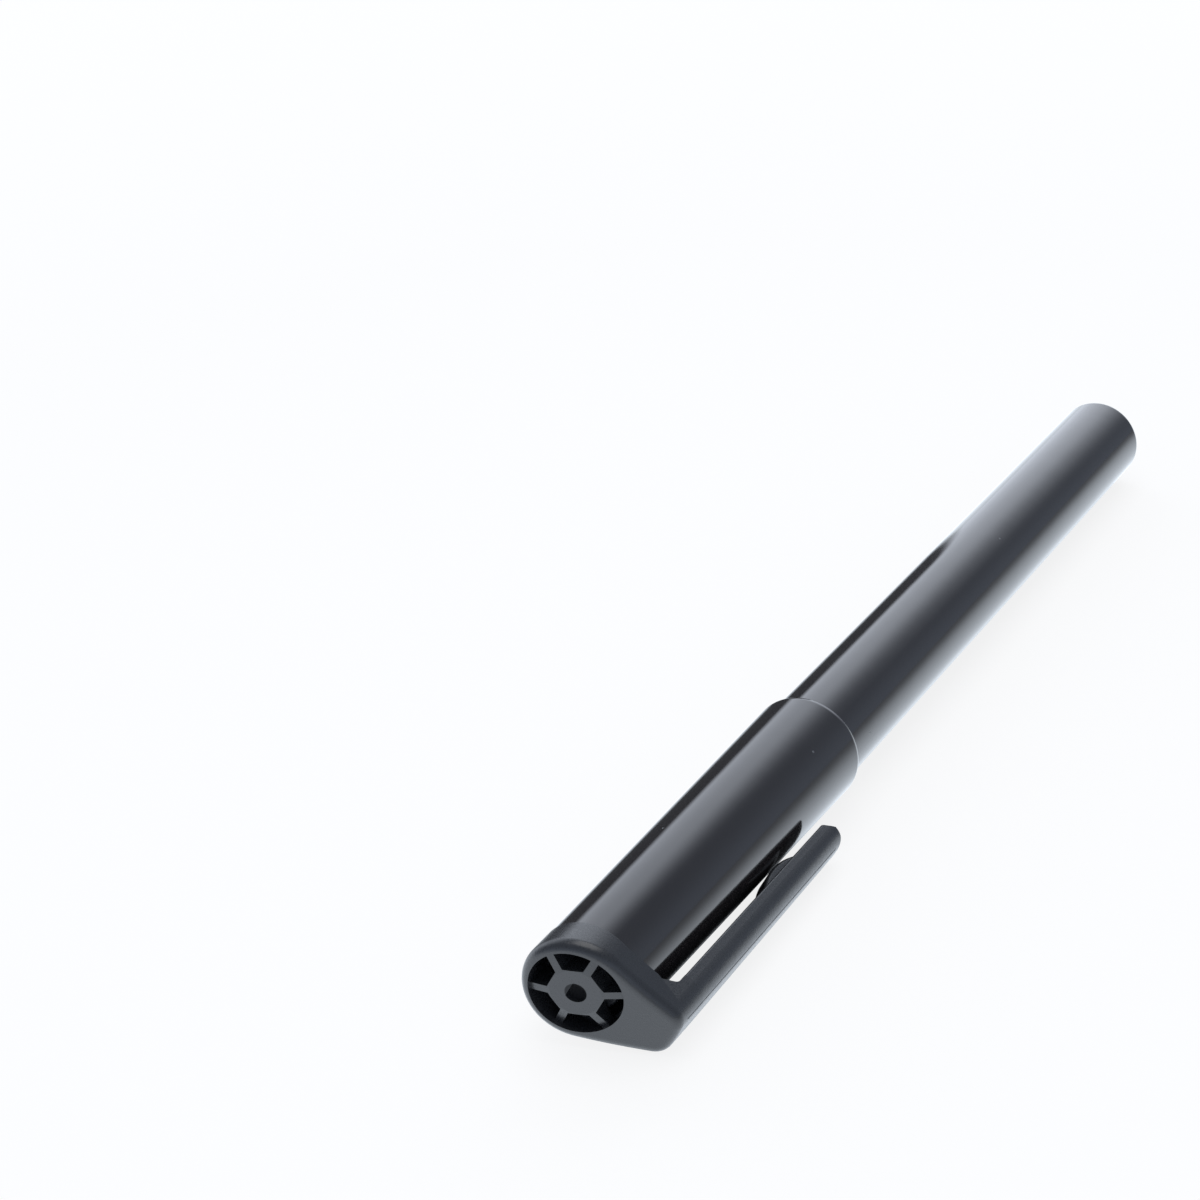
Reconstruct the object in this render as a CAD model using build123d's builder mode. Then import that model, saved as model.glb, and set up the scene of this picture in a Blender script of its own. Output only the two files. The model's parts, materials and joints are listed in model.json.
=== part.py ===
"""Capped fibre-tip pen for invisible ink, lying on a table with its clip turned down to the tabletop.

Millimetres. +X runs along the pen toward the cap's end, +Z is up, and the table is at Z = 0.
The origin is on the table, under the middle of the pen. Stations are measured along the pen's
axis from the rear end, and radii from that axis.
"""

import os
from math import asin, atan, atan2, cos, hypot, pi, radians, sin, sqrt, tan

from build123d import *

os.makedirs("parts", exist_ok=True)

# Whole pen
overall_length = 140.0
cap_length = 51.0

# Barrel
barrel_rear_radius = 5.0
barrel_flare = 0.22
barrel_wall = 0.85
barrel_length_in_cap = 14.0
barrel_rear_round = 0.8
barrel_rim_land = 0.05
barrel_front_chamfer = 0.15

# Plug in the rear end of the barrel
plug_length = 10.0
plug_face_thickness = 1.6
plug_wall = 1.0
plug_seam_chamfer = 0.2

# Ink reservoir and its film
reservoir_gap = 0.28
film_thickness = 0.12

# Nib
nib_radius = 1.0
nib_showing = 4.0
nib_point_radius = 0.35
nib_point_length = 1.6
nib_tail_in_reservoir = 7.0

# Front section
section_plug_length = 8.0
section_plug_wall = 1.55
section_plug_bore_depth = 6.0
section_step = 0.32
section_seat_length = 9.0
section_nose_shoulder = 0.8
section_shoulder_round = 0.5
nose_wall = 1.3
nose_length = 7.5
nose_lead = 1.0
nose_chamfer = 0.5
snap_bead_height = 0.06
snap_bead_width = 0.9
snap_bead_setback = 3.0
breather_count = 2
breather_width = 0.8
breather_depth = 0.35

# Cap sleeve
cap_mouth_wall = 0.6
cap_narrowing = 0.48
cap_back_wall = 0.72
cap_slide_gap = 0.08
cap_stop_gap = 0.1
cap_rim_round = 0.15
fin_count = 6
fin_length = 10.0
fin_width = 0.8
fin_gap = 0.2
fin_bite = 0.15

# Inner cap
inner_cap_wall = 0.96
inner_cap_end_wall = 0.9
inner_cap_flange_height = 0.7
inner_cap_flange_length = 1.0
inner_cap_seal_gap = 0.04
inner_cap_turn_gap = 0.05
inner_cap_float = 0.2
inner_cap_edge_round = 0.3

# End piece of the cap
collar_length = 3.4
collar_step = 0.08
collar_rim = 1.05
collar_end_slope = 13.0
collar_end_curve = 54.0
collar_end_round = 1.1
collar_round_margin = 0.1
collar_tail_margin = 0.2
collar_tail_start = 1.5
spigot_length = 3.0
spigot_wall = 0.5
spigot_lip = 0.5
vent_slot = 1.6
hub_corner_round = 0.9
hub_thickness = 2.6
hub_recess = 0.15
spoke_width = 0.75
spoke_fall = 0.45
spoke_bite = 0.1
dimple_radius = 1.05
dimple_straight_depth = 0.45

# Clip
clip_tip_depth = 40.35
clip_gap = 0.76
clip_root_thickness = 2.9
clip_tip_thickness = 2.65
clip_root_half_width = 3.0
clip_tip_half_width = 2.2
clip_crown = 0.35
clip_edge_round = 1.9
clip_round_margin = 0.05
clip_inner_edge_round = 0.2
clip_ledge_depth = 5.25
clip_ledge_slope = 36.0
clip_ledge_round = 0.7
clip_root_land = 1.0
clip_tip_round = 0.75
clip_tip_bevel = 1.2
clip_seat_gap = 0.02
nub_depth = 30.4
nub_length = 7.4
nub_half_width = 1.3
nub_gap = 0.12
nub_edge_round = 0.35

# Stations along the pen
mouth_station = overall_length - cap_length
barrel_front_station = mouth_station + barrel_length_in_cap
section_rear_station = barrel_front_station - section_plug_length
section_seat_end = barrel_front_station + section_seat_length
collar_station = overall_length - collar_length
spigot_station = collar_station - spigot_length
hub_back_station = overall_length - hub_thickness
fin_front_station = spigot_station - fin_gap
fin_rear_station = fin_front_station - fin_length
inner_cap_end_station = hub_back_station - inner_cap_float
inner_cap_flange_front = fin_rear_station - inner_cap_float
inner_cap_mouth_station = inner_cap_flange_front - inner_cap_flange_length
nose_station = inner_cap_mouth_station - nose_lead
nose_end_station = nose_station + nose_length
nib_tip_station = nose_end_station + nib_showing
nib_rear_station = section_rear_station - nib_tail_in_reservoir
cap_shoulder_station = barrel_front_station + cap_stop_gap
clip_tip_station = overall_length - clip_tip_depth
clip_ledge_station = overall_length - clip_ledge_depth
nub_station = overall_length - nub_depth
hub_face = overall_length - hub_recess

# Radii that follow from a neighbour, from the barrel outward
barrel_front_radius = barrel_rear_radius + barrel_flare
barrel_bore_radius = barrel_rear_radius - barrel_wall
rear_round = min(barrel_rear_round, barrel_wall - barrel_rim_land)
film_radius = barrel_bore_radius - reservoir_gap
reservoir_radius = film_radius - film_thickness
nose_radius = nib_radius + nose_wall
section_plug_bore_radius = barrel_bore_radius - section_plug_wall
section_seat_radius = barrel_front_radius - section_step
section_bead_radius = section_seat_radius + snap_bead_height
section_cone_radius = nose_radius + section_nose_shoulder
inner_cap_bore_radius = nose_radius + inner_cap_seal_gap
inner_cap_radius = inner_cap_bore_radius + inner_cap_wall
inner_cap_flange_radius = inner_cap_radius + inner_cap_flange_height
fin_inner_radius = inner_cap_radius + inner_cap_turn_gap
fin_half_pitch = 180 / fin_count
cap_seat_bore_radius = barrel_front_radius + cap_slide_gap
cap_step_bore_radius = section_bead_radius + cap_slide_gap
cap_mouth_radius = cap_seat_bore_radius + cap_mouth_wall
cap_back_radius = cap_mouth_radius - cap_narrowing
cap_back_bore_radius = cap_back_radius - cap_back_wall
cap_taper = cap_narrowing / (collar_station - mouth_station)
spigot_bore_radius = cap_back_bore_radius - spigot_wall
collar_radius = cap_back_radius + collar_step
vent_radius = collar_radius - collar_rim
collar_wall_middle = (vent_radius + collar_radius) / 2
hub_radius = vent_radius - vent_slot
hub_flat_radius = hub_radius * cos(radians(fin_half_pitch))
dimple_floor = hub_face - dimple_straight_depth - dimple_radius
clip_inner_radius = cap_mouth_radius + clip_gap
clip_root_outer_radius = clip_inner_radius + clip_root_thickness
clip_tip_outer_radius = clip_inner_radius + clip_tip_thickness
clip_side_wall = min(clip_root_thickness, clip_tip_thickness) - clip_crown - clip_inner_edge_round
clip_least_wall = min(clip_side_wall, clip_root_half_width, clip_tip_half_width)
edge_round = min(clip_edge_round, clip_least_wall - clip_round_margin)
end_round = min(collar_end_round, edge_round - collar_round_margin)

# Slot between the clip and the cap: its slanted floor, the rounded corner and the root of the spring arm
ledge_lean = radians(clip_ledge_slope)
clip_corner_station = clip_ledge_station - (clip_inner_radius - collar_wall_middle) * tan(ledge_lean)
ledge_reach = clip_ledge_round * tan(pi / 4 - ledge_lean / 2)
clip_root_station = clip_corner_station - ledge_reach - clip_root_land

# Curved end of the cap: its centre lies behind the end, off the axis on the side away from the clip
end_slope = radians(collar_end_slope)
end_centre_setback = collar_end_curve * cos(end_slope)
end_centre_offset = collar_end_curve * sin(end_slope)


def cap_outer_radius(station):
    """Outside radius of the tapered cap sleeve."""
    return cap_mouth_radius - cap_taper * (station - mouth_station)


def end_drop(reach):
    """Setback of the cap's curved end from the full length, at a distance from the axis toward the clip."""
    return end_centre_setback - sqrt(collar_end_curve**2 - (reach + end_centre_offset) ** 2)


# Where the teardrop's tail ends on the clip's side
tail_station = overall_length - end_drop(clip_root_outer_radius) - end_round - collar_tail_margin

# How the pen lies: on the cap's mouth and the barrel's rear rim, with the clip's edge on the table
rest_tilt = atan((cap_mouth_radius - barrel_rear_radius) / (mouth_station - rear_round))
height_at_clip = barrel_rear_radius + (clip_root_station - rear_round) * tan(rest_tilt)
clip_crown_radius = (clip_root_half_width**2 + clip_crown**2) / (2 * clip_crown)
clip_corner_side = clip_root_half_width - edge_round
clip_corner_out = clip_root_outer_radius - clip_crown_radius
clip_corner_out += sqrt((clip_crown_radius - edge_round) ** 2 - clip_corner_side**2)
clip_roll = asin((height_at_clip - edge_round) / hypot(clip_corner_out, clip_corner_side))
clip_roll -= atan2(clip_corner_side, clip_corner_out)
side_reach = clip_corner_out * cos(clip_roll) + clip_corner_side * sin(clip_roll) + edge_round
end_overhang = -end_drop(end_round - collar_radius)

pen_direction = Vector(cos(rest_tilt), 0, sin(rest_tilt))
pen_up = Vector(-sin(rest_tilt), 0, cos(rest_tilt))
clip_direction = Vector(0, cos(clip_roll), 0) - pen_up * sin(clip_roll)
rear_centre = Vector(
    -(overall_length + end_overhang) / 2,
    -(side_reach - cap_mouth_radius) / 2,
    barrel_rear_radius * cos(rest_tilt) - rear_round * sin(rest_tilt),
)
# Lengthwise plane through the axis and the clip: X is the station, Y the distance toward the clip
pen_plane = Plane(rear_centre, x_dir=pen_direction, z_dir=pen_direction.cross(clip_direction))
pen_axis = Axis(rear_centre, pen_direction)
end_overrun = clip_root_outer_radius


def cross_plane(station):
    """Plane square to the axis at a station: X points toward the clip, Z toward the cap's end."""
    return Plane(rear_centre + pen_direction * station, x_dir=clip_direction, z_dir=pen_direction)


def end_plane(setback):
    """Plane that touches the cap's end on the axis, set back by a distance; its Z leaves the cap."""
    along = clip_direction * cos(end_slope) - pen_direction * sin(end_slope)
    outward = pen_direction * cos(end_slope) + clip_direction * sin(end_slope)
    return Plane(rear_centre + pen_direction * (overall_length - setback), x_dir=along, z_dir=outward)


def clip_section(inner, outer, half_width):
    """Section of the clip: X points outward. It is flat inside and crowned outside."""
    side = outer - clip_crown
    with BuildSketch() as section:
        with BuildLine():
            Polyline((side, -half_width), (inner, -half_width), (inner, half_width), (side, half_width))
            ThreePointArc((side, half_width), (outer, 0), (side, -half_width))
        make_face()
        fillet(section.vertices().sort_by(Axis.X)[:2], radius=clip_inner_edge_round)
        fillet(section.vertices().sort_by(Axis.X)[-2:], radius=edge_round)
    return section.sketch


# Barrel
with BuildPart() as barrel:
    with BuildSketch(pen_plane):
        with BuildLine():
            Polyline(
                (0, barrel_bore_radius),
                (0, barrel_rear_radius),
                (mouth_station, barrel_front_radius),
                (barrel_front_station, barrel_front_radius),
                (barrel_front_station, barrel_bore_radius),
                close=True,
            )
        make_face()
    revolve(axis=pen_axis)
    rear_edges = barrel.edges().filter_by(GeomType.CIRCLE).group_by(pen_axis)[0]
    fillet(rear_edges.sort_by(SortBy.RADIUS)[-1], radius=rear_round)
    front_edges = barrel.edges().filter_by(GeomType.CIRCLE).group_by(pen_axis)[-1]
    chamfer(front_edges.sort_by(SortBy.RADIUS)[-1], length=barrel_front_chamfer)
barrel.part.label = "barrel"
export_step(barrel.part, "parts/barrel.step")

# Plug that closes the rear end
with BuildPart() as end_plug:
    with BuildSketch(pen_plane):
        with BuildLine():
            Polyline(
                (0, 0),
                (0, barrel_bore_radius - plug_seam_chamfer),
                (plug_seam_chamfer, barrel_bore_radius),
                (plug_length, barrel_bore_radius),
                (plug_length, barrel_bore_radius - plug_wall),
                (plug_face_thickness, barrel_bore_radius - plug_wall),
                (plug_face_thickness, 0),
                close=True,
            )
        make_face()
    revolve(axis=pen_axis)
end_plug.part.label = "end_plug"
export_step(end_plug.part, "parts/end_plug.step")

# Fibre core, with the hole that the nib's tail has pressed into its front
with BuildPart() as ink_reservoir:
    with BuildSketch(pen_plane):
        with BuildLine():
            Polyline(
                (plug_length, 0),
                (plug_length, reservoir_radius),
                (section_rear_station, reservoir_radius),
                (section_rear_station, nib_radius),
                (nib_rear_station, nib_radius),
                (nib_rear_station, 0),
                close=True,
            )
        make_face()
    revolve(axis=pen_axis)
ink_reservoir.part.label = "ink_reservoir"
export_step(ink_reservoir.part, "parts/ink_reservoir.step")

# Film sleeve round the fibre core
with BuildPart() as reservoir_film:
    with BuildSketch(cross_plane(plug_length)):
        Circle(film_radius)
        Circle(reservoir_radius, mode=Mode.SUBTRACT)
    extrude(amount=section_rear_station - plug_length)
reservoir_film.part.label = "reservoir_film"
export_step(reservoir_film.part, "parts/reservoir_film.step")

# Nib: a straight rod with a rounded point
with BuildPart() as nib:
    with BuildSketch(pen_plane):
        with BuildLine():
            Polyline(
                (nib_tip_station, 0),
                (nib_rear_station, 0),
                (nib_rear_station, nib_radius),
                (nib_tip_station - nib_point_length, nib_radius),
                (nib_tip_station - nib_point_radius, nib_point_radius),
            )
            RadiusArc(
                (nib_tip_station - nib_point_radius, nib_point_radius),
                (nib_tip_station, 0),
                nib_point_radius,
            )
        make_face()
    revolve(axis=pen_axis)
nib.part.label = "nib"
export_step(nib.part, "parts/nib.step")

# Front section: plug, cap seat with its snap bead, cone and nose, bored for the nib
with BuildPart() as front_section:
    bead_station = section_seat_end - snap_bead_setback
    with BuildSketch(pen_plane):
        with BuildLine():
            Polyline(
                (section_rear_station, section_plug_bore_radius),
                (section_rear_station, barrel_bore_radius),
                (barrel_front_station, barrel_bore_radius),
                (barrel_front_station, section_seat_radius),
                (bead_station - snap_bead_width / 2, section_seat_radius),
            )
            ThreePointArc(
                (bead_station - snap_bead_width / 2, section_seat_radius),
                (bead_station, section_bead_radius),
                (bead_station + snap_bead_width / 2, section_seat_radius),
            )
            Polyline(
                (bead_station + snap_bead_width / 2, section_seat_radius),
                (section_seat_end, section_seat_radius),
                (nose_station, section_cone_radius),
                (nose_station, nose_radius),
                (nose_end_station - nose_chamfer, nose_radius),
                (nose_end_station, nose_radius - nose_chamfer),
                (nose_end_station, nib_radius),
                (section_rear_station + section_plug_bore_depth, nib_radius),
                (section_rear_station + section_plug_bore_depth, section_plug_bore_radius),
                (section_rear_station, section_plug_bore_radius),
            )
        make_face()
    revolve(axis=pen_axis)
    with BuildSketch(cross_plane(section_rear_station)):
        with PolarLocations(barrel_bore_radius, breather_count):
            Rectangle(2 * breather_depth, breather_width)
    extrude(amount=section_plug_length, mode=Mode.SUBTRACT)
    cone_edge = front_section.edges().filter_by(GeomType.CIRCLE).filter_by(
        lambda edge: abs(pen_plane.to_local_coords(edge.center()).X - nose_station) < section_shoulder_round
    )
    fillet(cone_edge.sort_by(SortBy.RADIUS)[-1], radius=section_shoulder_round)
front_section.part.label = "front_section"
export_step(front_section.part, "parts/front_section.step")

# Inner cap: a closed cup round the nose, with a flange behind the fins that hold it
with BuildPart() as inner_cap:
    with BuildSketch(pen_plane):
        with BuildLine():
            Polyline(
                (inner_cap_mouth_station, inner_cap_bore_radius),
                (inner_cap_mouth_station, inner_cap_flange_radius),
                (inner_cap_flange_front, inner_cap_flange_radius),
                (inner_cap_flange_front, inner_cap_radius),
                (inner_cap_end_station, inner_cap_radius),
                (inner_cap_end_station, 0),
                (inner_cap_end_station - inner_cap_end_wall, 0),
                (inner_cap_end_station - inner_cap_end_wall, inner_cap_bore_radius),
                close=True,
            )
        make_face()
    revolve(axis=pen_axis)
    end_edges = inner_cap.edges().filter_by(GeomType.CIRCLE).group_by(pen_axis)[-1]
    fillet(end_edges, radius=inner_cap_edge_round)
inner_cap.part.label = "inner_cap"
export_step(inner_cap.part, "parts/inner_cap.step")

# Cap sleeve, with the fins that hold the inner cap and leave air channels between them
with BuildPart() as cap_tube:
    with BuildSketch(pen_plane):
        with BuildLine():
            Polyline(
                (mouth_station, cap_seat_bore_radius),
                (mouth_station, cap_mouth_radius),
                (collar_station, cap_back_radius),
                (collar_station, cap_back_bore_radius),
                (fin_rear_station, cap_back_bore_radius),
                (section_seat_end, cap_step_bore_radius),
                (cap_shoulder_station, cap_step_bore_radius),
                (cap_shoulder_station, cap_seat_bore_radius),
                close=True,
            )
        make_face()
    revolve(axis=pen_axis)
    rim_edges = cap_tube.edges().filter_by(GeomType.CIRCLE).group_by(pen_axis)[0]
    fillet(rim_edges, radius=cap_rim_round)
    with BuildSketch(cross_plane(fin_rear_station)):
        with PolarLocations(0, fin_count, start_angle=fin_half_pitch):
            Rectangle(cap_back_bore_radius + fin_bite, fin_width, align=(Align.MIN, Align.CENTER))
        Circle(fin_inner_radius, mode=Mode.SUBTRACT)
    extrude(amount=fin_length)
cap_tube.part.label = "cap_tube"
export_step(cap_tube.part, "parts/cap_tube.step")

# Hub and spokes that cross the cap's vent, a little below the sloped end; the spokes fall toward the rim
with BuildPart() as vent_spider:
    with BuildSketch(cross_plane(hub_back_station)) as spider:
        RegularPolygon(hub_radius, fin_count, rotation=fin_half_pitch)
        fillet(spider.vertices(), radius=hub_corner_round)
        with PolarLocations(0, fin_count, start_angle=fin_half_pitch):
            Rectangle(vent_radius + spoke_bite, spoke_width, align=(Align.MIN, Align.CENTER))
    extrude(amount=end_overrun)
    hub_plane = end_plane(hub_recess)
    split(bisect_by=hub_plane, keep=Keep.BOTTOM)
    with BuildSketch(Plane(hub_plane.origin, x_dir=hub_plane.z_dir, z_dir=pen_plane.z_dir)):
        with BuildLine():
            Polyline(
                (0, hub_flat_radius),
                (-spoke_fall, vent_radius),
                (-spoke_fall, end_overrun),
                (0, end_overrun),
                close=True,
            )
        make_face()
    revolve(axis=Axis(hub_plane.origin, hub_plane.z_dir), mode=Mode.SUBTRACT)
    with BuildSketch(pen_plane):
        with BuildLine():
            RadiusArc((dimple_floor, 0), (dimple_floor + dimple_radius, dimple_radius), dimple_radius)
            Polyline(
                (dimple_floor + dimple_radius, dimple_radius),
                (overall_length, dimple_radius),
                (overall_length, 0),
                (dimple_floor, 0),
            )
        make_face()
    revolve(axis=pen_axis, mode=Mode.SUBTRACT)

# End piece of the cap: teardrop ring, clip root, the spigot in the sleeve, and the hub and spokes
with BuildPart() as clip_collar:
    with BuildSketch(cross_plane(tail_station)):
        Circle(collar_radius)
        add(clip_section(0, clip_root_outer_radius, clip_root_half_width))
        make_hull()
    extrude(amount=end_overrun)
    with BuildSketch(pen_plane):
        with Locations((overall_length - end_centre_setback, -end_centre_offset)):
            Circle(collar_end_curve)
    extrude(amount=end_overrun, both=True, mode=Mode.INTERSECT)
    end_face = clip_collar.faces().sort_by(pen_axis)[-1]
    fillet(end_face.edges(), radius=end_round)
    with BuildSketch(pen_plane):
        with BuildLine():
            Polyline(
                (tail_station, -end_overrun),
                (collar_station, -end_overrun),
                (collar_station, collar_tail_start),
                (tail_station, collar_wall_middle),
                close=True,
            )
        make_face()
    extrude(amount=end_overrun, both=True, mode=Mode.SUBTRACT)
    with BuildSketch(cross_plane(clip_root_station)):
        add(clip_section(collar_wall_middle, clip_root_outer_radius, clip_root_half_width))
    extrude(amount=tail_station - clip_root_station)
    with BuildSketch(pen_plane) as clip_slot:
        with BuildLine():
            Polyline(
                (clip_root_station, collar_wall_middle),
                (clip_ledge_station, collar_wall_middle),
                (clip_corner_station, clip_inner_radius),
                (clip_root_station, clip_inner_radius),
                close=True,
            )
        make_face()
        slot_corner = clip_slot.vertices().sort_by(Axis.Y)[-2:].sort_by(Axis.X)[-1]
        fillet(slot_corner, radius=clip_ledge_round)
    extrude(amount=clip_root_half_width, both=True, mode=Mode.SUBTRACT)
    with BuildSketch(pen_plane):
        with BuildLine():
            Polyline(
                (clip_root_station, 0),
                (clip_root_station, cap_outer_radius(clip_root_station) + clip_seat_gap),
                (collar_station, cap_outer_radius(collar_station) + clip_seat_gap),
                (collar_station, 0),
                close=True,
            )
        make_face()
    revolve(axis=pen_axis, mode=Mode.SUBTRACT)
    with BuildSketch(cross_plane(collar_station)):
        Circle(vent_radius)
    extrude(amount=end_overrun, mode=Mode.SUBTRACT)
    add(vent_spider.part)
    with BuildSketch(cross_plane(spigot_station)):
        Circle(cap_back_bore_radius)
        Circle(spigot_bore_radius, mode=Mode.SUBTRACT)
    extrude(amount=spigot_length + spigot_lip)
clip_collar.part.label = "clip_collar"
export_step(clip_collar.part, "parts/clip_collar.step")

# Spring arm of the clip, tapered in width, with a rounded tip and the nub that meets the cap
with BuildPart() as clip_arm:
    with BuildSketch(cross_plane(clip_root_station)):
        add(clip_section(clip_inner_radius, clip_root_outer_radius, clip_root_half_width))
    with BuildSketch(cross_plane(clip_tip_station)):
        add(clip_section(clip_inner_radius, clip_tip_outer_radius, clip_tip_half_width))
    loft(ruled=True)
    with BuildSketch(pen_plane) as side_view:
        with BuildLine():
            Polyline(
                (clip_root_station, clip_inner_radius),
                (clip_tip_station + clip_tip_bevel, clip_inner_radius),
                (clip_tip_station, clip_inner_radius + clip_tip_bevel),
                (clip_tip_station, clip_tip_outer_radius),
                (clip_root_station, clip_root_outer_radius),
                close=True,
            )
        make_face()
        tip_corner = side_view.vertices().group_by(Axis.X)[0].sort_by(Axis.Y)[-1]
        fillet(tip_corner, radius=clip_tip_round)
    extrude(amount=clip_root_half_width, both=True, mode=Mode.INTERSECT)
    with BuildSketch(pen_plane):
        with BuildLine():
            ThreePointArc(
                (nub_station - nub_length / 2, clip_inner_radius),
                (nub_station, cap_outer_radius(nub_station) + nub_gap),
                (nub_station + nub_length / 2, clip_inner_radius),
            )
            Line(
                (nub_station + nub_length / 2, clip_inner_radius),
                (nub_station - nub_length / 2, clip_inner_radius),
            )
        make_face()
    extrude(amount=nub_half_width, both=True)
    nub_edges = clip_arm.edges().filter_by(GeomType.CIRCLE).sort_by_distance(
        pen_plane.from_local_coords((nub_station, cap_outer_radius(nub_station), 0))
    )[:2]
    fillet(nub_edges, radius=nub_edge_round)
clip_arm.part.label = "clip_arm"
export_step(clip_arm.part, "parts/clip_arm.step")
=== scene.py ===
"""Capped fibre-tip pen for invisible ink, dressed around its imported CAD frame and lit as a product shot.

Sizes are written in millimetres and turned to metres when a mesh is made. Stations run along the
pen's axis from the rear end of the barrel toward the cap's end, and radii are measured from that axis.
Colours are linear red, green, blue and alpha. The scales of patterns count per metre.
"""

import json
import math

import bpy
import numpy as np
from mathutils import Matrix, Vector


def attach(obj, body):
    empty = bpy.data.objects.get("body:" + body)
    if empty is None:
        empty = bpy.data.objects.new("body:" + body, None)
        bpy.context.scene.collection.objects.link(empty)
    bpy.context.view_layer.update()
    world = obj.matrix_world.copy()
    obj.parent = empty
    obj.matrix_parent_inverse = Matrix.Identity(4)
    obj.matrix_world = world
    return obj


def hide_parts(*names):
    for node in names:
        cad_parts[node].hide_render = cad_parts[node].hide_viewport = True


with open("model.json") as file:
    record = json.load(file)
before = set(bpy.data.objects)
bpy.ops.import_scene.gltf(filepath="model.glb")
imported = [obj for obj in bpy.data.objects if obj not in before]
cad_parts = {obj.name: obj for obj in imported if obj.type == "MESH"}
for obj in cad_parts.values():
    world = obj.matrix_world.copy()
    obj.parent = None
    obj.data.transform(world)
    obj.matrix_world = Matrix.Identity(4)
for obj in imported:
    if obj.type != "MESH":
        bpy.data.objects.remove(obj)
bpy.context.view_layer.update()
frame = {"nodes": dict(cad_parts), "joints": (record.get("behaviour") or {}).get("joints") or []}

MM = 0.001

# The pen's axis and the two directions across it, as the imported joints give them
joints = {joint["name"]: joint for joint in frame["joints"]}
rear_centre = np.array(joints["cap_turn"]["pos_m"])
along = np.array(joints["cap_turn"]["axis"])
across = np.array(joints["clip_flex"]["axis"])
toward_clip = np.cross(along, across)
clip_hinge = np.array(joints["clip_flex"]["pos_m"])

# Stations shared with the solids
mouth_station = 89.0
clip_tip_station = 99.65
barrel_front_station = 103.0
cap_shoulder_station = 103.1
section_seat_end = 112.0
fin_rear_station = 123.4
clip_root_station = 132.17
fin_front_station = 133.4
clip_tail_station = 135.7
collar_station = 136.6

# Barrel
barrel_rear_radius = 5.0
barrel_front_radius = 5.22
barrel_bore_radius = 4.15
barrel_rear_round = 0.8
barrel_taper_blend = 6.0
barrel_front_round = 0.12
barrel_bore_round = 0.02

# Cap sleeve, with a lip at its mouth and ribs inside
cap_mouth_radius = 5.9
cap_back_radius = 5.42
cap_seat_bore_radius = 5.3
cap_step_bore_radius = 5.04
cap_back_bore_radius = 4.7
cap_bore_edge_round = 0.15
cap_bore_blend = 2.0
cap_lip_round = 0.3
cap_lip_length = 0.5
cap_lip_drop = 0.12
cap_lip_blend = 1.2
moulded_edge = 0.04
fin_count = 6
fin_width = 0.8
fin_bite = 0.15
fin_inner_radius = 3.35

# Clip, and the dimple in the hub
clip_inner_radius = 6.66
clip_root_outer_radius = 9.56
clip_tip_outer_radius = 9.31
clip_root_half_width = 3.0
clip_tip_half_width = 2.2
clip_crown = 0.35
clip_edge_round = 1.9
dimple_radius = 1.05
dimple_rim = 0.06

# Mould seam along the clip's two long edges
seam_lean = 20.0
seam_half_width = 0.07
seam_top_half_width = 0.025
seam_height = 0.03
seam_root = 0.06
seam_tip_clearance = 1.0
seam_run_out = 0.5
seam_steps = 64

# Bending web inside the clip's root, its reach in degrees about the hinge
web_inset = 0.03
web_inner_round = 0.2
web_arm_reach = 1.0
web_root_reach = 7.0
web_steps = 9

# How finely surfaces are divided, and the angles in degrees past which an edge is sharp
turns = 192
arc_steps = 9
run_spacing = 1.6
holding_width = 0.02
place_digits = 6
piece_sharp_angle = 40
seam_sharp_angle = 60


def rounded_profile(corners, radii):
    """Closed outline with an arc at every corner, then points added along its straight runs.

    At a corner the arc touches both sides at radius / tan(half the corner's angle). Its points are
    the centre plus the two touching spokes mixed as sin((1 - s) turn) and sin(s turn) over sin(turn).
    Each run gets a holding point close to its arcs and even points between them.
    """
    corners = np.array(corners, float)
    radii = np.array(radii, float)[:, None]
    back = np.roll(corners, 1, axis=0) - corners
    ahead = np.roll(corners, -1, axis=0) - corners
    back /= np.linalg.norm(back, axis=1, keepdims=True)
    ahead /= np.linalg.norm(ahead, axis=1, keepdims=True)
    half_angle = np.arccos(np.clip((back * ahead).sum(1, keepdims=True), -1, 1)) / 2
    reach = radii / np.tan(half_angle)
    middle = (back + ahead) / np.linalg.norm(back + ahead, axis=1, keepdims=True)
    centre = corners + middle * radii / np.sin(half_angle)
    first_spoke = corners + back * reach - centre
    last_spoke = corners + ahead * reach - centre
    turn = (math.pi - 2 * half_angle)[:, None]
    share = np.linspace(0, 1, arc_steps)[None, :, None]
    arc = np.sin((1 - share) * turn) * first_spoke[:, None] + np.sin(share * turn) * last_spoke[:, None]
    outline = (centre[:, None] + arc / np.sin(turn)).reshape(-1, 2)
    outline = np.vstack([outline, outline[:1]])
    walked = np.concatenate([[0], np.cumsum(np.linalg.norm(np.diff(outline, axis=0), axis=1))])
    run_starts = walked[arc_steps - 1 : -1 : arc_steps]
    run_ends = walked[arc_steps::arc_steps]
    pieces = np.maximum(2, np.ceil((run_ends - run_starts) / run_spacing))
    marks = [walked[:-1], run_starts + holding_width, run_ends - holding_width]
    step = np.arange(1, int(pieces.max()))[None, :] / pieces[:, None]
    inner = run_starts[:, None] + step * (run_ends - run_starts)[:, None]
    marks.append(inner[step < 1])
    places = np.unique(np.round(np.concatenate(marks), place_digits))
    return np.column_stack([np.interp(places, walked, column) for column in outline.T])


def made_piece(name, points, faces, finish, sharp_angle=piece_sharp_angle):
    """Mesh object from an array of points in metres and lists of faces, smooth but for its sharp edges."""
    mesh = bpy.data.meshes.new(name)
    mesh.from_pydata(points, [], faces)
    mesh.validate()
    mesh.polygons.foreach_set("use_smooth", np.ones(len(mesh.polygons), bool))
    mesh.set_sharp_from_angle(angle=math.radians(sharp_angle))
    mesh.materials.append(finish)
    piece = bpy.data.objects.new(name, mesh)
    bpy.context.scene.collection.objects.link(piece)
    return piece


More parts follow.
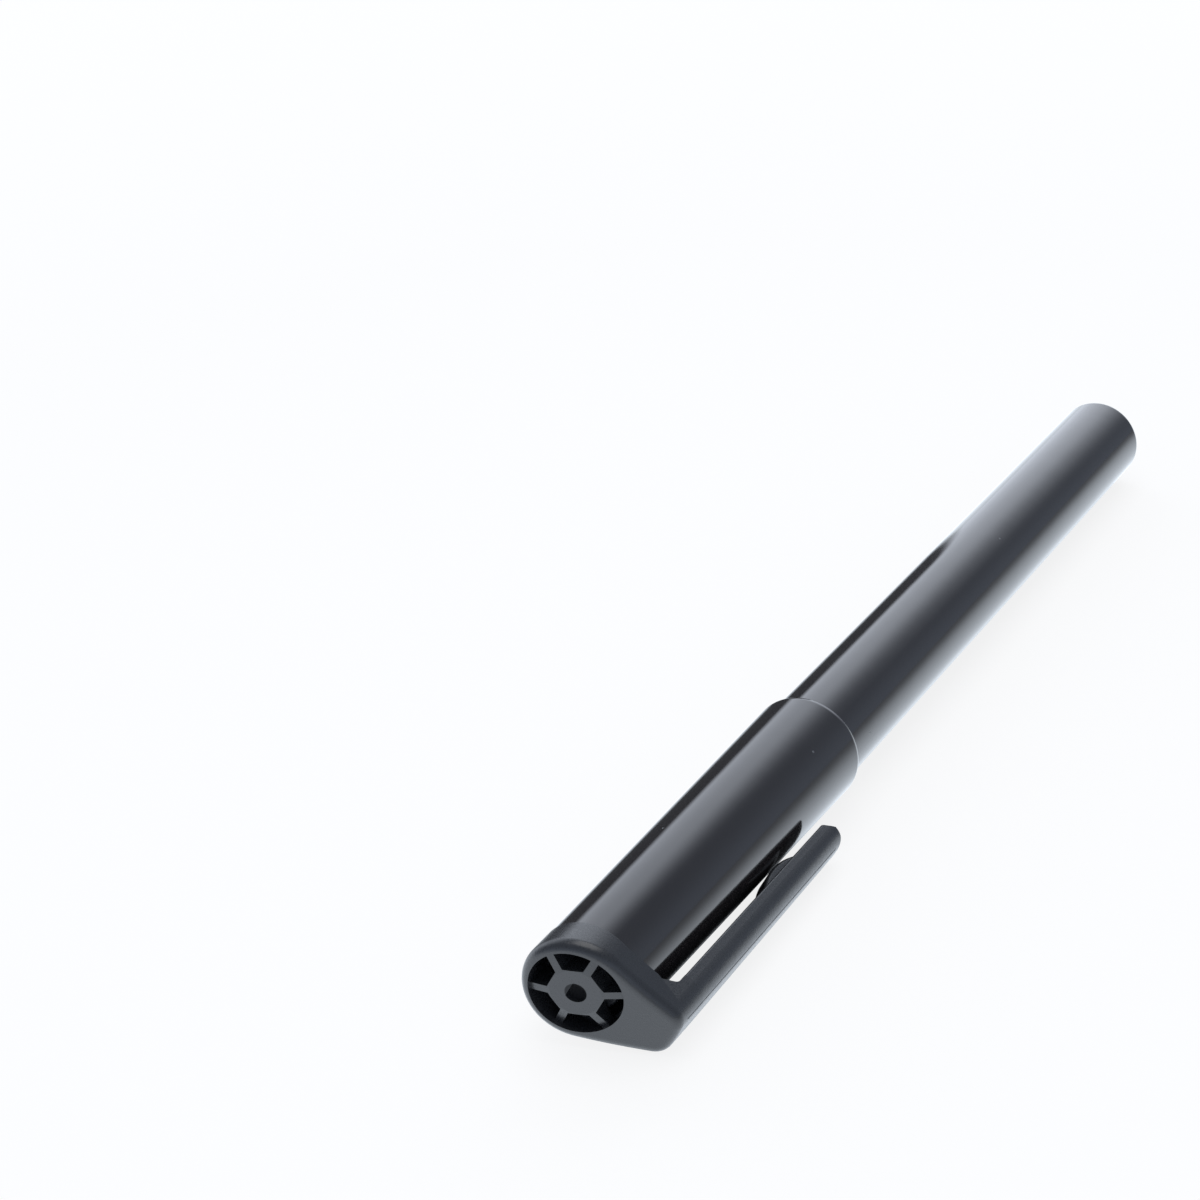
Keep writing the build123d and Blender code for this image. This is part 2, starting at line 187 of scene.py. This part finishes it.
def on_pen(station, radius, angle):
    """Points in metres: rear centre + station along the axis + radius (cos toward the clip + sin across)."""
    spoke = np.cos(angle)[..., None] * toward_clip + np.sin(angle)[..., None] * across
    return rear_centre + MM * (station[..., None] * along + radius[..., None] * spoke)


def turned(profile):
    """Ring-shaped solid: the closed outline of stations and radii is carried once round the axis.

    The grid closes on itself in both directions, so it has neither seam nor pole.
    """
    angle = np.linspace(0, 2 * math.pi, turns, endpoint=False)
    station, _ = np.meshgrid(profile[:, 0], angle, indexing="ij")
    radius, angle = np.meshgrid(profile[:, 1], angle, indexing="ij")
    index = np.arange(station.size).reshape(station.shape)
    next_row = np.roll(index, -1, axis=0)
    next_column = np.roll(index, -1, axis=1)
    corner = np.roll(next_row, -1, axis=1)
    faces = np.stack([index, next_row, corner, next_column], axis=-1).reshape(-1, 4)
    return on_pen(station, radius, angle).reshape(-1, 3), faces


def sleeve_fins():
    """Six straight ribs inside the sleeve, each a box of eight points set round the axis by equal angles."""
    angle = math.pi / fin_count + 2 * math.pi * np.arange(fin_count) / fin_count
    stations = np.array([fin_rear_station, fin_front_station])
    reaches = np.array([fin_inner_radius, cap_back_bore_radius + fin_bite])
    sides = np.array([-fin_width / 2, fin_width / 2])
    turn, station, reach, side = np.meshgrid(angle, stations, reaches, sides, indexing="ij")
    radius = np.hypot(reach, side)
    points = on_pen(station, radius, turn + np.arctan2(side, reach)).reshape(-1, 3)
    box_corners = 8
    box = np.array([[2, 3, 1, 0], [5, 7, 6, 4], [1, 5, 4, 0], [6, 7, 3, 2], [4, 6, 2, 0], [3, 7, 5, 1]])
    faces = (box[None] + box_corners * np.arange(fin_count)[:, None, None]).reshape(-1, 4)
    return points, faces


def seam_run(first, last, sunk_first, sunk_last):
    """Two raised lines along the clip's edges between two stations.

    At a station the clip's half width h and crown c give the crown's radius (h h + c c) / 2c. The edge's
    rounding r has its centre h - r beside the middle and, from the axis, at the outer radius less the
    crown's radius plus the square root of (crown's radius - r) squared less (h - r) squared. The line's
    small section stands on that rounding, leaning seam_lean degrees from straight out, and sinks into the
    clip at the ends that are named as sunk.
    """
    station = np.linspace(first, last, seam_steps)
    share = np.clip((clip_root_station - station) / (clip_root_station - clip_tip_station), 0, 1)
    half = clip_root_half_width + share * (clip_tip_half_width - clip_root_half_width)
    outer = clip_root_outer_radius + share * (clip_tip_outer_radius - clip_root_outer_radius)
    crown_radius = (half**2 + clip_crown**2) / (2 * clip_crown)
    beside = half - clip_edge_round
    beyond = outer - crown_radius + np.sqrt((crown_radius - clip_edge_round) ** 2 - beside**2)
    sink = np.zeros(seam_steps)
    if sunk_first:
        sink += seam_root * np.clip(1 - (station - first) / seam_run_out, 0, 1)
    if sunk_last:
        sink += seam_root * np.clip(1 - (last - station) / seam_run_out, 0, 1)
    half_section = np.array([seam_top_half_width, seam_half_width, seam_half_width])
    sideways = np.concatenate([-half_section[::-1], half_section])
    proud = np.array([-seam_root, 0, seam_height, seam_height, 0, -seam_root])
    lean = math.radians(seam_lean)
    lift = clip_edge_round + proud[None, :] - sink[:, None]
    out = beyond[:, None] + lift * math.cos(lean) - sideways[None, :] * math.sin(lean)
    aside = beside[:, None] + lift * math.sin(lean) + sideways[None, :] * math.cos(lean)
    runs = np.repeat(station[:, None], sideways.size, axis=1)
    upper = on_pen(runs, np.hypot(out, aside), np.arctan2(aside, out)).reshape(-1, 3)
    lower = on_pen(runs, np.hypot(out, aside), -np.arctan2(aside, out)).reshape(-1, 3)
    index = np.arange(runs.size).reshape(runs.shape)
    around = np.roll(index, -1, axis=1)
    skin = np.stack([index[:-1], index[1:], around[1:], around[:-1]], axis=-1).reshape(-1, 4).tolist()
    shell = skin + [index[0].tolist(), index[-1, ::-1].tolist()]
    flipped = [[corner + runs.size for corner in face[::-1]] for face in shell]
    return np.vstack([upper, lower]), shell + flipped


def bending_web():
    """Sector about the clip's hinge: a rounded section is carried through a small angle.

    A point of the section at depth d inward from the hinge and w across lies, at angle a, at the
    hinge + d (sin a along the pen - cos a toward the clip) + w across. The two ends are closed.
    """
    deep = clip_root_outer_radius - clip_inner_radius - web_inset
    shallow = clip_crown + web_inset
    wide = clip_root_half_width - web_inset
    section = rounded_profile(
        [(deep, -wide), (deep, wide), (shallow, wide), (shallow, -wide)],
        [web_inner_round, web_inner_round, clip_edge_round, clip_edge_round],
    )
    angle = np.radians(np.linspace(-web_arm_reach, web_root_reach, web_steps))
    angle, depth = np.meshgrid(angle, section[:, 0], indexing="ij")
    side = np.repeat(section[None, :, 1], web_steps, axis=0)
    turned_in = np.sin(angle)[..., None] * along - np.cos(angle)[..., None] * toward_clip
    points = clip_hinge + MM * (depth[..., None] * turned_in + side[..., None] * across)
    index = np.arange(angle.size).reshape(angle.shape)
    around = np.roll(index, -1, axis=1)
    skin = np.stack([index[:-1], around[:-1], around[1:], index[1:]], axis=-1).reshape(-1, 4).tolist()
    return points.reshape(-1, 3), skin + [index[0, ::-1].tolist(), index[-1].tolist()]


def add_node(tree, kind, inputs=None, **settings):
    """A shader node with its settings, its constants and its links in one call."""
    made = tree.nodes.new(kind)
    for key, value in settings.items():
        setattr(made, key, value)
    for key, value in (inputs or {}).items():
        if isinstance(value, bpy.types.NodeSocket):
            tree.links.new(value, made.inputs[key])
        else:
            made.inputs[key].default_value = value
    return made


def maths(tree, operation, *values):
    """Result of one Math node on numbers or sockets."""
    return add_node(tree, "ShaderNodeMath", dict(enumerate(values)), operation=operation).outputs[0]


def vector_maths(tree, operation, *values):
    """One Vector Math node on vectors or sockets."""
    return add_node(tree, "ShaderNodeVectorMath", dict(enumerate(values)), operation=operation)


def product(tree, *values):
    """All the values multiplied together."""
    total = values[0]
    for value in values[1:]:
        total = maths(tree, "MULTIPLY", total, value)
    return total


def spread(tree, value, source, target, easing="LINEAR"):
    """Maps a value from a source range to a target range and holds it at the ends."""
    inputs = {
        "Value": value,
        "From Min": source[0],
        "From Max": source[1],
        "To Min": target[0],
        "To Max": target[1],
    }
    return add_node(tree, "ShaderNodeMapRange", inputs, interpolation_type=easing).outputs["Result"]


def fade(tree, value, source, target):
    """Maps a value as spread does, with soft ends."""
    return spread(tree, value, source, target, "SMOOTHSTEP")


def mottle(tree, place, scale, detail, roughness=0.5):
    """Noise value of a place, by its scale, its layers and how strongly the finer layers count."""
    inputs = {"Vector": place, "Scale": scale, "Detail": detail, "Roughness": roughness}
    return add_node(tree, "ShaderNodeTexNoise", inputs).outputs["Fac"]


def streak(tree, place, stretch, detail):
    """Noise value drawn out along the pen: the stretch gives its three scales, the first one along it."""
    drawn = add_node(tree, "ShaderNodeMapping", {"Vector": place, "Scale": stretch})
    return mottle(tree, drawn.outputs[0], scale=1.0, detail=detail)


def tinted(tree, share, first, second):
    """Colour mixed from two by a share."""
    inputs = {"Factor": share, "A": first, "B": second}
    return add_node(tree, "ShaderNodeMix", inputs, data_type="RGBA").outputs["Result"]


def raised(tree, height, strength, distance):
    """Normal bent by a height, over a distance in millimetres."""
    inputs = {"Height": height, "Strength": strength, "Distance": MM * distance}
    return add_node(tree, "ShaderNodeBump", inputs).outputs[0]


def new_finish(name):
    """An empty node material, its tree and its Object coordinates."""
    finish = bpy.data.materials.new(name)
    finish.use_nodes = True
    finish.node_tree.nodes.clear()
    place = add_node(finish.node_tree, "ShaderNodeTexCoord").outputs["Object"]
    return finish, finish.node_tree, place


def show(tree, surface, output="ShaderNodeOutputMaterial"):
    """Sends a shader to the tree's output."""
    add_node(tree, output, {"Surface": surface.outputs[0]})


def gloss_moulding():
    """Polished black styrene: slight waviness, wiped smudges, hairlines along the pen and specks of dust."""
    deep_black = (0.0145, 0.0120, 0.0118, 1)
    smudged_black = (0.0185, 0.0155, 0.0150, 1)
    dust_grey = (0.11, 0.11, 0.115, 1)
    dust_roughness = 0.4
    finish, tree, place = new_finish("gloss_black_moulding")
    wave = mottle(tree, place, scale=260.0, detail=1.0)
    smudge = mottle(tree, place, scale=95.0, detail=4.0, roughness=0.6)
    hairline = streak(tree, place, stretch=(35.0, 2600.0, 2600.0), detail=2.0)
    speck = add_node(tree, "ShaderNodeTexVoronoi", {"Vector": place, "Scale": 420.0})
    chance = add_node(tree, "ShaderNodeSeparateColor", {"Color": speck.outputs["Color"]}).outputs["Red"]
    chosen = spread(tree, chance, (0.91, 0.93), (0.0, 1.0))
    dot = spread(tree, speck.outputs["Distance"], (0.045, 0.07), (1.0, 0.0))
    dust = product(tree, chosen, dot)
    tint = tinted(tree, dust, tinted(tree, smudge, deep_black, smudged_black), dust_grey)
    wiped = spread(tree, smudge, (0.35, 0.7), (0.09, 0.125))
    scratched = spread(tree, hairline, (0.62, 0.75), (0.0, 0.06))
    rough = maths(tree, "MULTIPLY_ADD", dust, dust_roughness, maths(tree, "ADD", wiped, scratched))
    ripple = raised(tree, wave, strength=0.05, distance=0.2)
    inputs = {"Base Color": tint, "Roughness": rough, "IOR": 1.65, "Normal": ripple}
    show(tree, add_node(tree, "ShaderNodeBsdfPrincipled", inputs))
    return finish


def matt_moulding():
    """Spark-textured black polypropylene: a fine even grain, rough and dark inside the hub's dimple.

    The distance from the pen's axis is the length of the cross product of the axis and the place
    seen from the rear centre. Inside the dimple it gives the least roughness and the share of a darker
    colour, which is painted shade, not the plastic's own colour.
    """
    deep_black = (0.019, 0.0195, 0.021, 1)
    pale_black = (0.026, 0.0265, 0.0285, 1)
    dimple_shade_black = (0.006, 0.0055, 0.0055, 1)
    dimple_shade_and_dullness = 0.85
    finish, tree, place = new_finish("matt_black_moulding")
    pits = mottle(tree, place, scale=4200.0, detail=2.0, roughness=0.6)
    cloud = mottle(tree, place, scale=160.0, detail=3.0)
    from_rear = vector_maths(tree, "SUBTRACT", place, rear_centre).outputs[0]
    aside = vector_maths(tree, "CROSS_PRODUCT", from_rear, along).outputs[0]
    from_axis = vector_maths(tree, "LENGTH", aside).outputs["Value"]
    rim = (MM * (dimple_radius - dimple_rim), MM * dimple_radius)
    # Painted shade: the dimple's colour is darkened as if shaded, and the same share sets its roughness
    dimple_shade_and_dull_mask = spread(tree, from_axis, rim, (dimple_shade_and_dullness, 0.0))
    tint = tinted(tree, dimple_shade_and_dull_mask, tinted(tree, cloud, deep_black, pale_black), dimple_shade_black)
    rough = maths(tree, "MAXIMUM", spread(tree, pits, (0.3, 0.7), (0.25, 0.35)), dimple_shade_and_dull_mask)
    grain = raised(tree, pits, strength=0.16, distance=0.06)
    inputs = {"Base Color": tint, "Roughness": rough, "IOR": 1.6, "Normal": grain}
    show(tree, add_node(tree, "ShaderNodeBsdfPrincipled", inputs))
    return finish


def drawn_fibre(name, pale, dark, roughness):
    """Bundled fibre: thin streaks that run along the pen, in two close tints, raised a little."""
    finish, tree, place = new_finish(name)
    strand = streak(tree, place, stretch=(90.0, 5200.0, 5200.0), detail=3.0)
    blend = spread(tree, strand, (0.35, 0.65), (0.0, 1.0))
    tint = tinted(tree, blend, dark, pale)
    ridges = raised(tree, blend, strength=0.5, distance=0.08)
    inputs = {"Base Color": tint, "Roughness": roughness, "Normal": ridges}
    show(tree, add_node(tree, "ShaderNodeBsdfPrincipled", inputs))
    return finish


def milky_film():
    """Thin wrapped film: milky white, with soft wrinkles along the pen."""
    milk_white = (0.82, 0.84, 0.85, 1)
    finish, tree, place = new_finish("milky_film")
    wrinkle = streak(tree, place, stretch=(120.0, 900.0, 900.0), detail=2.0)
    rough = spread(tree, wrinkle, (0.3, 0.7), (0.18, 0.3))
    crease = raised(tree, wrinkle, strength=0.3, distance=0.2)
    inputs = {"Base Color": milk_white, "Roughness": rough, "IOR": 1.5, "Normal": crease}
    show(tree, add_node(tree, "ShaderNodeBsdfPrincipled", inputs))
    return finish


gloss_black = gloss_moulding()
matt_black = matt_moulding()
nib_fibre = drawn_fibre("nib_fibre", (0.80, 0.80, 0.77, 1), (0.62, 0.62, 0.58, 1), roughness=0.7)
ink_fibre = drawn_fibre("ink_fibre", (0.78, 0.80, 0.80, 1), (0.60, 0.63, 0.64, 1), roughness=0.85)
white_film = milky_film()

# Barrel: outside from the rear rim to the front end, then back along the bore
barrel_profile = rounded_profile(
    [
        (0, barrel_bore_radius),
        (0, barrel_rear_radius),
        (mouth_station, barrel_front_radius),
        (barrel_front_station, barrel_front_radius),
        (barrel_front_station, barrel_bore_radius),
    ],
    [barrel_bore_round, barrel_rear_round, barrel_taper_blend, barrel_front_round, barrel_bore_round],
)
barrel_shell = made_piece("barrel_shell", *turned(barrel_profile), gloss_black)
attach(barrel_shell, "pen_body")
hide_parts("barrel")

# Cap sleeve: outside from the mouth to the collar, then back along the stepped bore, and the ribs
sleeve_profile = rounded_profile(
    [
        (mouth_station, cap_seat_bore_radius),
        (mouth_station, cap_mouth_radius - cap_lip_drop),
        (mouth_station + cap_lip_length, cap_mouth_radius),
        (collar_station, cap_back_radius),
        (collar_station, cap_back_bore_radius),
        (fin_rear_station, cap_back_bore_radius),
        (section_seat_end, cap_step_bore_radius),
        (cap_shoulder_station, cap_step_bore_radius),
        (cap_shoulder_station, cap_seat_bore_radius),
    ],
    [
        cap_bore_edge_round,
        cap_lip_round,
        cap_lip_blend,
        moulded_edge,
        moulded_edge,
        cap_bore_blend,
        cap_bore_blend,
        moulded_edge,
        moulded_edge,
    ],
)
tube_points, tube_faces = turned(sleeve_profile)
fin_points, fin_faces = sleeve_fins()
cap_sleeve = made_piece(
    "cap_sleeve",
    np.vstack([tube_points, fin_points]),
    np.vstack([tube_faces, fin_faces + len(tube_points)]),
    gloss_black,
)
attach(cap_sleeve, "cap")
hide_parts("cap_tube")

# Mould seam on the clip: a fine raised line along each long edge, in one run on the arm and one on the root
arm_seam = made_piece(
    "clip_arm_seam",
    *seam_run(clip_tip_station + seam_tip_clearance, clip_root_station, True, False),
    matt_black,
    seam_sharp_angle,
)
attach(arm_seam, "clip")
root_seam = made_piece(
    "clip_root_seam",
    *seam_run(clip_root_station, clip_tail_station, False, True),
    matt_black,
    seam_sharp_angle,
)
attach(root_seam, "cap")

# Bending web: hidden at rest inside the clip's arm and root, it shows between them when the clip springs
root_web = made_piece("clip_root_web", *bending_web(), matt_black)
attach(root_web, "clip")

# Finishes of the solids that stay
node_finish = {
    "end_plug": gloss_black,
    "front_section": matt_black,
    "inner_cap": matt_black,
    "clip_collar": matt_black,
    "clip_arm": matt_black,
    "nib": nib_fibre,
    "ink_reservoir": ink_fibre,
    "reservoir_film": white_film,
}
for node_name, finish in node_finish.items():
    frame["nodes"][node_name].data.materials.clear()
    frame["nodes"][node_name].data.materials.append(finish)


def pale_floor():
    """Floor that takes the pen's shadow, shows white to the camera and bright in reflections.

    In a reflection it shows a painted pool of light: its strength is base + peak / (1 + (d / w) squared),
    where d is how far the place lies past the pool's edge on the clip's side and w is the pool's width. That
    pool falls to nothing, as painted shade, where the pen closes the floor in. For the camera it grows
    whiter away from the pen.
    """
    pool_edge, pool_width = 6.0, 18.0
    pool_base, pool_peak = 0.27, 1.25
    closing_distance = 10.0
    whitening = (MM * 150.0, MM * 900.0)
    paper_white = (0.8, 0.8, 0.8, 1)
    shadow_grey = (0.16, 0.16, 0.16, 1)
    plain_white = (1, 1, 1, 1)
    cool_white = (0.92, 1.0, 1.095, 1)
    finish, tree, place = new_finish("pale_floor")
    seen = add_node(tree, "ShaderNodeLightPath")
    # Painted pool of light: an emission seen only in reflections, brightest beside the pen on the clip's
    # side
    sideways = add_node(tree, "ShaderNodeSeparateXYZ", {0: place}).outputs["Y"]
    past_edge = maths(tree, "MAXIMUM", maths(tree, "SUBTRACT", sideways, MM * pool_edge), 0.0)
    squared = maths(tree, "POWER", maths(tree, "DIVIDE", past_edge, MM * pool_width), 2.0)
    falling = maths(tree, "DIVIDE", pool_peak, maths(tree, "ADD", squared, 1.0))
    pool = maths(tree, "ADD", falling, pool_base)
    # Painted shade: the pool is dimmed to nothing where the pen closes the floor in
    occlusion = add_node(tree, "ShaderNodeAmbientOcclusion", {"Distance": MM * closing_distance})
    pool = product(tree, pool, spread(tree, occlusion.outputs["AO"], (0.1, 0.4), (0.0, 1.0)))
    from_middle = vector_maths(tree, "LENGTH", place).outputs["Value"]
    whiteness = spread(tree, from_middle, whitening, (0.85, 0.98))
    shown = maths(tree, "MAXIMUM", seen.outputs["Is Camera Ray"], seen.outputs["Is Glossy Ray"])
    paper = add_node(tree, "ShaderNodeBsdfDiffuse", {"Color": paper_white})
    shaded = add_node(tree, "ShaderNodeBsdfDiffuse", {"Color": shadow_grey})
    plain = add_node(tree, "ShaderNodeEmission", {"Color": plain_white, "Strength": whiteness})
    mirrored = add_node(tree, "ShaderNodeEmission", {"Color": cool_white, "Strength": pool})
    glow = add_node(
        tree,
        "ShaderNodeMixShader",
        {0: seen.outputs["Is Glossy Ray"], 1: plain.outputs[0], 2: mirrored.outputs[0]},
    )
    bright = add_node(tree, "ShaderNodeAddShader", {0: shaded.outputs[0], 1: glow.outputs[0]})
    show(tree, add_node(tree, "ShaderNodeMixShader", {0: shown, 1: paper.outputs[0], 2: bright.outputs[0]}))
    return finish


floor_half = 3000.0
floor_points = MM * floor_half * np.array([[-1, -1, 0], [1, -1, 0], [1, 1, 0], [-1, 1, 0]])
floor = made_piece("floor", floor_points, [[0, 1, 2, 3]], pale_floor())

# Dark flag beside the pen, a painted reflection seen only in reflections: it fades in across the floor
# # as painted shadow, then stands up
flag_rear, flag_front = -72.0, 66.0
flag_edge, flag_foot = -4.0, -30.0
flag_clearance, flag_top = 0.1, 26.0


def dark_flag():
    """Dark sheet of painted shade, seen only in reflections, that fades out toward the pen,
    its top and its two ends.

    The rear end's fade slants: there x is lessened by rear_slant times the distance from the flag's foot.
    """
    fade_edge = -8.0
    deepest = 0.96
    top_fade = (MM * 19.0, MM * 25.0)
    rear_fade = (MM * -71.0, MM * -64.0)
    rear_slant = 1.5
    front_fade = (MM * 44.0, MM * flag_front)
    painted_shade_black = (0.03, 0.03, 0.032, 1)
    finish, tree, place = new_finish("dark_flag")
    split = add_node(tree, "ShaderNodeSeparateXYZ", {0: place})
    x, y, z = split.outputs["X"], split.outputs["Y"], split.outputs["Z"]
    slant = product(tree, maths(tree, "SUBTRACT", y, MM * flag_foot), rear_slant)
    # Painted shade seen only in reflections: the cover fades in across the floor as painted shadow and up
    # the standing part
    cover = product(
        tree,
        spread(tree, y, (MM * fade_edge, MM * flag_foot), (0.0, deepest)),
        spread(tree, z, top_fade, (1.0, 0.0)),
        spread(tree, maths(tree, "SUBTRACT", x, slant), rear_fade, (0.0, 1.0)),
        fade(tree, x, front_fade, (1.0, 0.0)),
    )
    painted_shade_sheet = add_node(tree, "ShaderNodeBsdfDiffuse", {"Color": painted_shade_black})
    clear = add_node(tree, "ShaderNodeBsdfTransparent")
    show(tree, add_node(tree, "ShaderNodeMixShader", {0: cover, 1: clear.outputs[0], 2: painted_shade_sheet.outputs[0]}))
    return finish


flag_points = MM * np.array(
    [
        [flag_rear, flag_edge, flag_clearance],
        [flag_front, flag_edge, flag_clearance],
        [flag_rear, flag_foot, flag_clearance],
        [flag_front, flag_foot, flag_clearance],
        [flag_rear, flag_foot, flag_top],
        [flag_front, flag_foot, flag_top],
    ]
)
flag = made_piece("dark_flag", flag_points, [[0, 2, 3, 1], [2, 4, 5, 3]], dark_flag())
flag.visible_camera = False
flag.visible_diffuse = False
flag.visible_transmission = False
flag.visible_shadow = False


def bearing_from(tree, heading, azimuth):
    """Bearing of a heading from an azimuth, positive to the left seen from above, all in degrees."""
    turn = {"Vector": heading, "Angle": -math.radians(azimuth)}
    spun = add_node(tree, "ShaderNodeVectorRotate", turn, rotation_type="Z_AXIS")
    split = add_node(tree, "ShaderNodeSeparateXYZ", {0: spun.outputs[0]})
    return maths(tree, "DEGREES", maths(tree, "ARCTAN2", split.outputs["Y"], split.outputs["X"]))


def studio_light(tree):
    """Soft light from all round: a dim room, a wide white screen behind, a front fill and a side glow.

    Each light's strength is a product of ranges over its bearing and the elevation, both in degrees. The
    screen's low part is dimmed on the right of its middle. The camera sees plain white instead.
    """
    screen_azimuth, fill_azimuth, glow_azimuth = -150, 10, 75
    room_level = 0.32
    screen_white = (0.935, 0.99, 1.09, 1)
    room_blue = (0.82, 0.95, 1.19, 1)
    plain_white = (1, 1, 1, 1)
    heading = add_node(tree, "ShaderNodeTexCoord").outputs["Generated"]
    height = add_node(tree, "ShaderNodeSeparateXYZ", {0: heading}).outputs["Z"]
    elevation = maths(tree, "DEGREES", maths(tree, "ARCSINE", height))
    screen_bearing = bearing_from(tree, heading, screen_azimuth)
    fill_bearing = bearing_from(tree, heading, fill_azimuth)
    glow_bearing = bearing_from(tree, heading, glow_azimuth)
    edge_slant = spread(tree, elevation, (27, 40), (-2.0, 7.0))
    screen_edge = maths(tree, "SUBTRACT", screen_bearing, edge_slant)
    low_share = spread(tree, elevation, (4, 16), (0.2, 1.0))
    beside_share = spread(tree, screen_bearing, (-22, -10), (0.0, 1.0))
    screen = product(
        tree,
        maths(tree, "MAXIMUM", low_share, beside_share),
        fade(tree, screen_edge, (-55, -16), (0.0, 1.0)),
        spread(tree, screen_bearing, (-12, 12), (1.9, 1.4)),
        fade(tree, screen_bearing, (40, 80), (1.0, 0.0)),
        spread(tree, elevation, (17, 38), (1.05, 0.78)),
        fade(tree, elevation, (40, 58), (1.0, 0.0)),
    )
    fill = product(
        tree,
        fade(tree, fill_bearing, (-80, -40), (0.0, 0.5)),
        fade(tree, fill_bearing, (40, 80), (1.0, 0.0)),
        fade(tree, elevation, (5, 35), (1.0, 0.0)),
    )
    side_glow = product(
        tree,
        fade(tree, glow_bearing, (-40, 0), (0.0, 0.16)),
        fade(tree, glow_bearing, (62, 90), (1.0, 0.0)),
        fade(tree, elevation, (5, 40), (1.0, 0.0)),
    )
    room = maths(tree, "ADD", maths(tree, "ADD", fill, side_glow), room_level)
    seen = add_node(tree, "ShaderNodeLightPath")
    screen_light = add_node(tree, "ShaderNodeBackground", {"Color": screen_white, "Strength": screen})
    room_light = add_node(tree, "ShaderNodeBackground", {"Color": room_blue, "Strength": room})
    lit = add_node(tree, "ShaderNodeAddShader", {0: screen_light.outputs[0], 1: room_light.outputs[0]})
    white = add_node(tree, "ShaderNodeBackground", {"Color": plain_white, "Strength": 1.0})
    either = add_node(
        tree,
        "ShaderNodeMixShader",
        {0: seen.outputs["Is Camera Ray"], 1: lit.outputs[0], 2: white.outputs[0]},
    )
    show(tree, either, "ShaderNodeOutputWorld")


world = bpy.data.worlds.new("studio")
bpy.context.scene.world = world
world.use_nodes = True
world.node_tree.nodes.clear()
studio_light(world.node_tree)

# Overhead softbox
softbox_width, softbox_depth, softbox_height = 500.0, 400.0, 550.0
softbox_watts = 1.2
softbox_data = bpy.data.lights.new("overhead_softbox", "AREA")
softbox_data.shape = "RECTANGLE"
softbox_data.size = MM * softbox_width
softbox_data.size_y = MM * softbox_depth
softbox_data.energy = softbox_watts
softbox = bpy.data.objects.new("overhead_softbox", softbox_data)
softbox.location = (0, 0, MM * softbox_height)
bpy.context.scene.collection.objects.link(softbox)

# Camera at the photograph's place: its eye from the pen's rear centre, and its direction in degrees
camera_sensor, camera_lens = 36.0, 94.8
camera_near, camera_far = 10.0, 20000.0
camera_eye = (349.027, 114.537, 163.388)
camera_bearing, camera_dip, camera_roll = 118.05, 27.1, -0.77
camera_data = bpy.data.cameras.new("camera")
camera_data.sensor_width = camera_sensor
camera_data.lens = camera_lens
camera_data.clip_start = MM * camera_near
camera_data.clip_end = MM * camera_far
camera = bpy.data.objects.new("camera", camera_data)
bpy.context.scene.collection.objects.link(camera)
bearing, dip, roll = np.radians([camera_bearing, camera_dip, camera_roll]).tolist()
ahead = Vector((-math.sin(bearing) * math.cos(dip), math.cos(bearing) * math.cos(dip), -math.sin(dip)))
level = Vector((math.cos(bearing), math.sin(bearing), 0))
right = level * math.cos(roll) + level.cross(ahead) * math.sin(roll)
up = right.cross(ahead)
eye = rear_centre + MM * np.array(camera_eye)
camera.matrix_world = Matrix.Translation(eye) @ Matrix((right, up, -ahead)).transposed().to_4x4()
bpy.context.scene.camera = camera

bpy.context.scene.view_settings.view_transform = "Standard"
